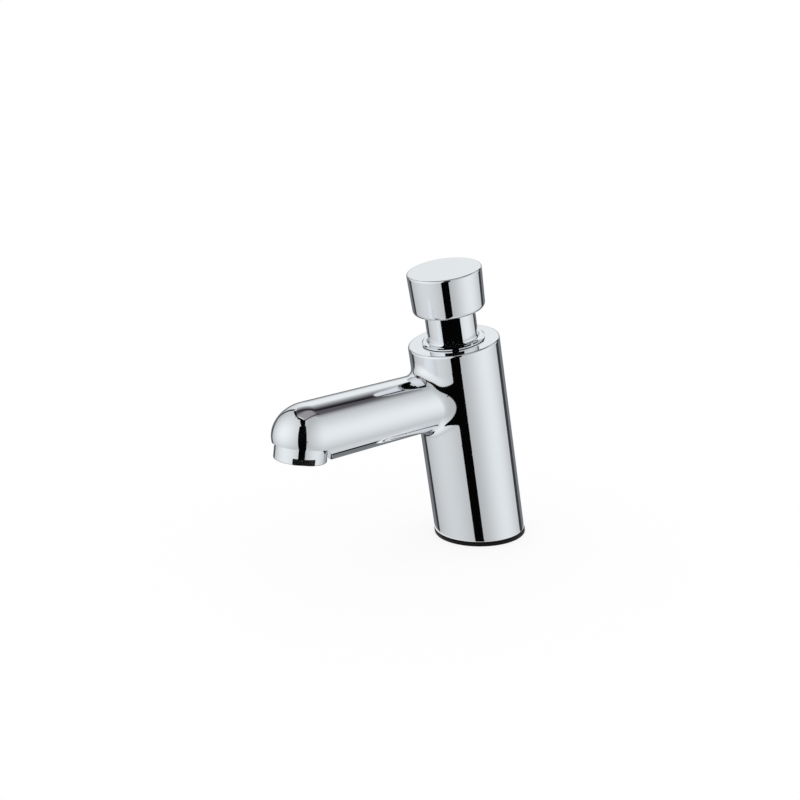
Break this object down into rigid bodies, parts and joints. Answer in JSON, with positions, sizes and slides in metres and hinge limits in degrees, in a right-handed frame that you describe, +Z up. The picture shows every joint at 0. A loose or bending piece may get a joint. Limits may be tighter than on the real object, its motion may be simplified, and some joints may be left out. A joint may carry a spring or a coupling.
{
  "type": "push timed tap",
  "caption": "Deck-mounted self-closing basin tap: leaning round body and spout cast in one, a mushroom cap pushed down along the axis, and a spring and piston timing cartridge.",
  "frame": {"origin": "centre of the base on the basin, at the underside of the gasket", "axes": "+Z up, the spout points to -Y, and the YZ plane is the tap's plane of symmetry"},
  "size_m": [0.0486, 0.1516, 0.151],
  "materials": {
    "chromed_brass": "polished chrome plate on brass",
    "brass": "turned brass",
    "stainless_steel": "bright stainless steel",
    "black_rubber": "moulded black rubber",
    "white_acetal": "moulded white acetal",
    "grey_acetal": "moulded grey acetal"
  },
  "bodies": {
    "tap": {"tap_body": "chromed_brass", "base_gasket": "black_rubber", "inlet_plate": "brass", "inlet_plate_oring": "black_rubber", "inlet_strainer": "stainless_steel", "valve_seat": "brass", "seat_gasket": "black_rubber", "timing_sleeve": "brass", "sleeve_oring": "black_rubber", "bonnet": "chromed_brass", "bonnet_oring": "black_rubber", "guide_bush": "white_acetal", "stem_oring": "black_rubber", "gland_ring": "brass", "return_spring": "stainless_steel", "aerator_housing": "chromed_brass", "aerator_insert": "white_acetal", "aerator_mesh": "stainless_steel", "flow_regulator": "grey_acetal", "regulator_oring": "black_rubber", "aerator_washer": "black_rubber"},
    "button": {"push_cap": "chromed_brass", "cap_grub_screw": "stainless_steel", "stem": "stainless_steel", "piston": "grey_acetal", "piston_lip_seal": "black_rubber", "piston_clip": "stainless_steel", "timing_jet": "brass", "valve_washer": "black_rubber", "washer_holder": "brass", "valve_nut": "brass"}
  },
  "joints": [
    {"name": "push", "type": "slide", "parent": "tap", "child": "button", "axis": [0, 0.1564, -0.9877], "range_m": [0, 0.008], "stiffness_N_per_m": 1200, "springref_m": -0.012, "deforming": ["return_spring"]}
  ]
}
